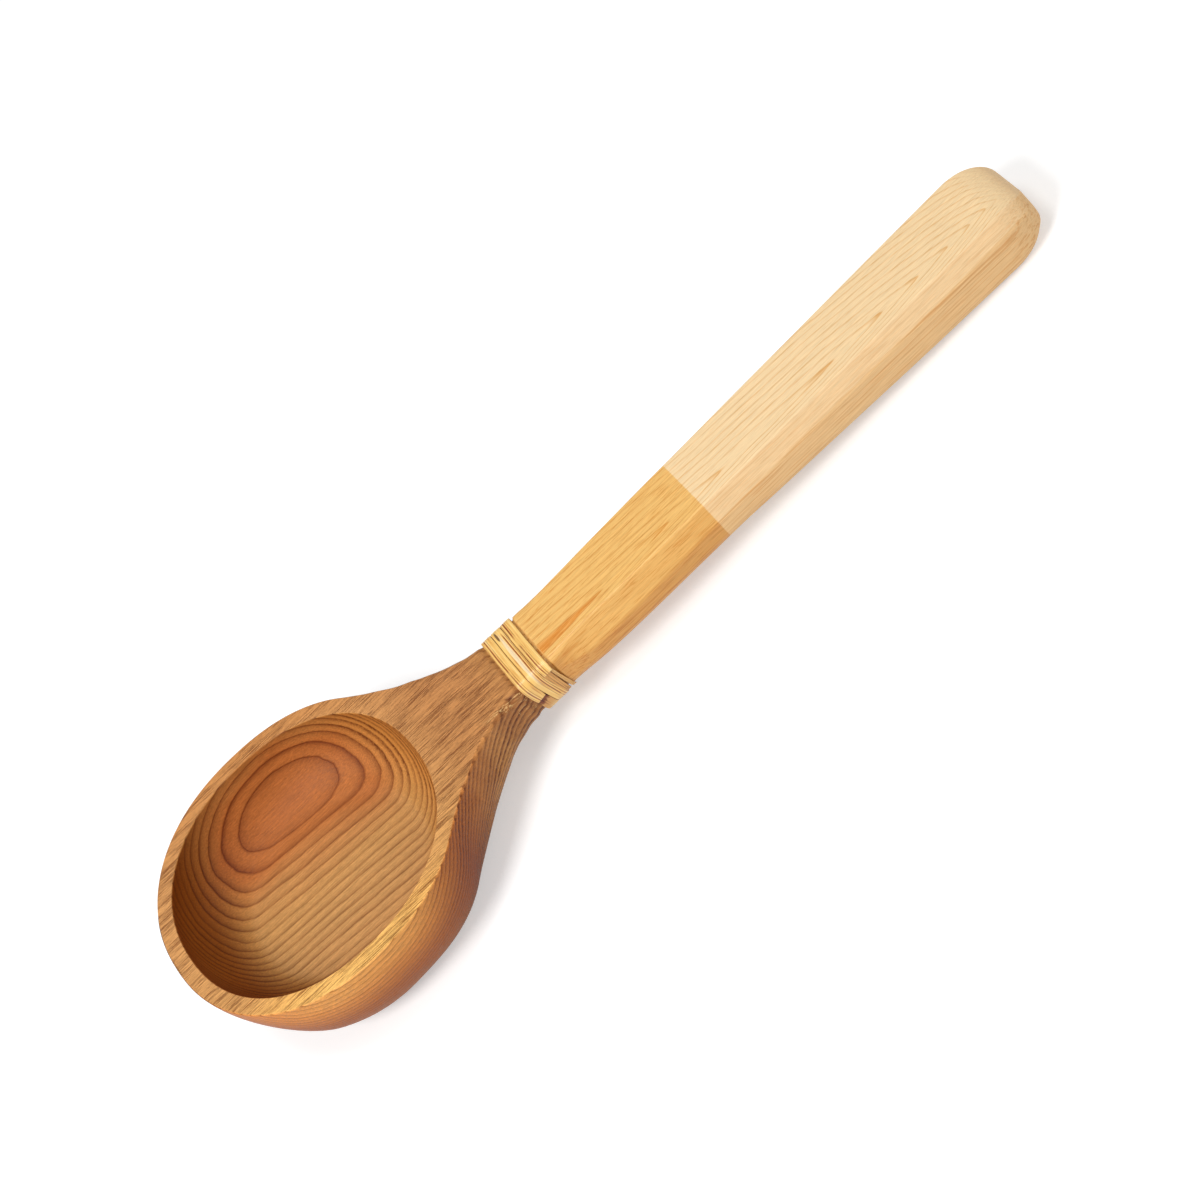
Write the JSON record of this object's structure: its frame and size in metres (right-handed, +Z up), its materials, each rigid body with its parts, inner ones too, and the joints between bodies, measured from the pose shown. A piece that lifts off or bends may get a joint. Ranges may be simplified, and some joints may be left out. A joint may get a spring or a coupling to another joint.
{
  "type": "sauna ladle",
  "caption": "Wooden ladle for throwing water in a sauna: a deep rounded bowl with a drawn-out neck, a long straight tapering handle and a cane-bound joint.",
  "frame": {"origin": "on the flat foot under the bowl's centre, where the ladle lies on a table", "axes": "+X along the ladle from the bowl to the handle's tip, +Y across it, +Z up out of the bowl"},
  "size_m": [0.4, 0.1206, 0.0443],
  "materials": {
    "cedar": "oiled red-brown cedar with dark growth rings",
    "softwood": "pale softwood, lacquered amber next to the joint and bare towards the tip",
    "dowel_wood": "plain turned hardwood, hidden in the joint",
    "cane": "split cane with its glossy skin outwards"
  },
  "bodies": {
    "root": {"bowl_head": "cedar", "handle": "softwood", "joint_dowel": "dowel_wood", "cane_binding": "cane"}
  },
  "joints": []
}
